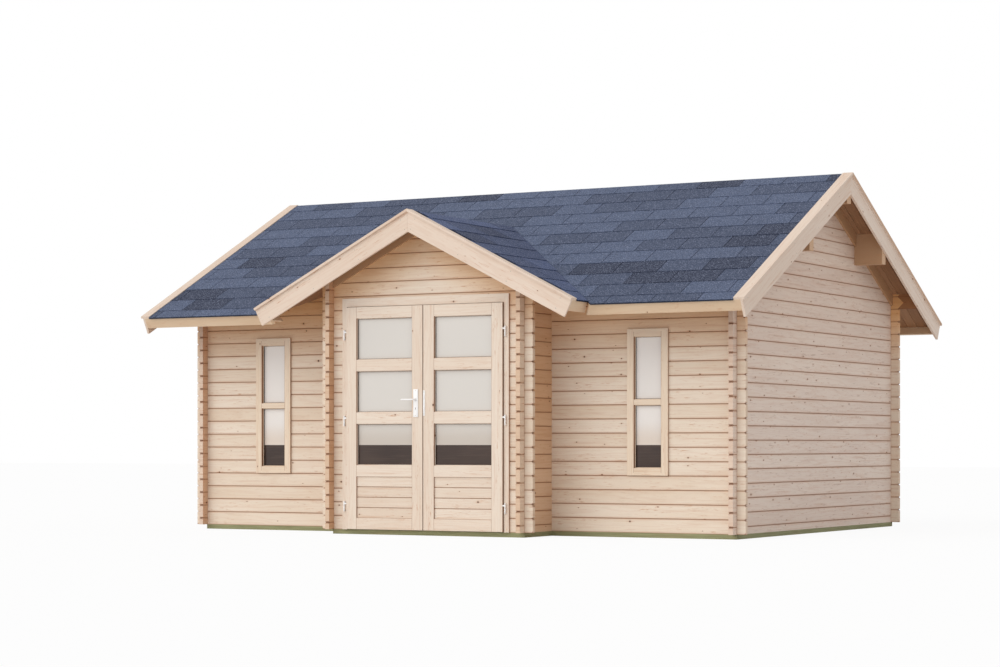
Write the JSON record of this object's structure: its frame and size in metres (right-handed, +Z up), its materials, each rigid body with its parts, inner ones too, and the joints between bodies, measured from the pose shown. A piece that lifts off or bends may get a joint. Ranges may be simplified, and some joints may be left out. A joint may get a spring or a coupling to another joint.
{
  "type": "log cabin",
  "caption": "Garden log cabin with crossed log corners, a gabled front bay with glazed double doors, side windows and a shingled pitched roof.",
  "frame": {"origin": "middle of the footprint, roof overhangs included, at the underside of the bearers", "axes": "+X to the right along the front as seen from outside, +Y from the front to the back, +Z up"},
  "size_m": [5.912, 5.0186, 3.1437],
  "materials": {
    "log_wood": "planed spruce logs, raw",
    "roof_board_wood": "planed spruce boards, raw",
    "trim_wood": "planed spruce boards, raw",
    "joinery_wood": "planed spruce, raw",
    "floor_wood": "planed spruce boards, raw",
    "treated_wood": "pressure treated, green",
    "shingle": "bitumen shingles with blue-grey mineral granules",
    "glass": "clear",
    "white_metal": "white powder coat"
  },
  "bodies": {
    "cabin": {"bearers": "treated_wood", "floor_boards": "floor_wood", "front_wall_left": "log_wood", "front_wall_right": "log_wood", "back_wall": "log_wood", "left_gable_wall": "log_wood", "right_gable_wall": "log_wood", "bay_left_wall": "log_wood", "bay_right_wall": "log_wood", "bay_front_left": "log_wood", "bay_front_right": "log_wood", "bay_gable": "log_wood", "front_plate_log": "log_wood", "back_plate_log": "log_wood", "ridge_purlin": "log_wood", "front_purlin": "log_wood", "back_purlin": "log_wood", "bay_ridge_purlin": "log_wood", "front_roof_boards": "roof_board_wood", "back_roof_boards": "roof_board_wood", "bay_left_roof_boards": "roof_board_wood", "bay_right_roof_boards": "roof_board_wood", "front_shingles": "shingle", "back_shingles": "shingle", "bay_left_shingles": "shingle", "bay_right_shingles": "shingle", "main_bargeboards": "trim_wood", "bay_bargeboards": "trim_wood", "main_verge_caps": "trim_wood", "bay_verge_caps": "trim_wood", "eave_fascias": "trim_wood", "main_rake_trims": "trim_wood", "bay_rake_trims": "trim_wood", "door_frame": "joinery_wood", "window_frames": "joinery_wood", "frame_hinge_halves": "white_metal", "window_glass": "glass"},
    "left_door": {"left_door_leaf": "joinery_wood", "left_door_glass": "glass", "left_door_panel": "joinery_wood", "left_leaf_hinge_halves": "white_metal", "handle_plate": "white_metal"},
    "door_lever": {"door_lever": "white_metal"},
    "right_door": {"right_door_leaf": "joinery_wood", "right_door_glass": "glass", "right_door_panel": "joinery_wood", "right_leaf_hinge_halves": "white_metal", "keep_plate": "white_metal"}
  },
  "joints": [
    {"name": "left_door_hinge", "type": "hinge", "parent": "cabin", "child": "left_door", "pos_m": [-0.793, -2.23834, 0], "axis": [0, 0, -1], "range_deg": [0, 95]},
    {"name": "right_door_hinge", "type": "hinge", "parent": "cabin", "child": "right_door", "pos_m": [0.793, -2.23834, 0], "axis": [0, 0, 1], "range_deg": [0, 95]},
    {"name": "door_lever_turn", "type": "hinge", "parent": "left_door", "child": "door_lever", "pos_m": [-0.068, -2.24234, 1.152], "axis": [0, -1, 0], "range_deg": [0, 40], "stiffness_Nm_per_rad": 1, "springref_deg": -22.92}
  ]
}
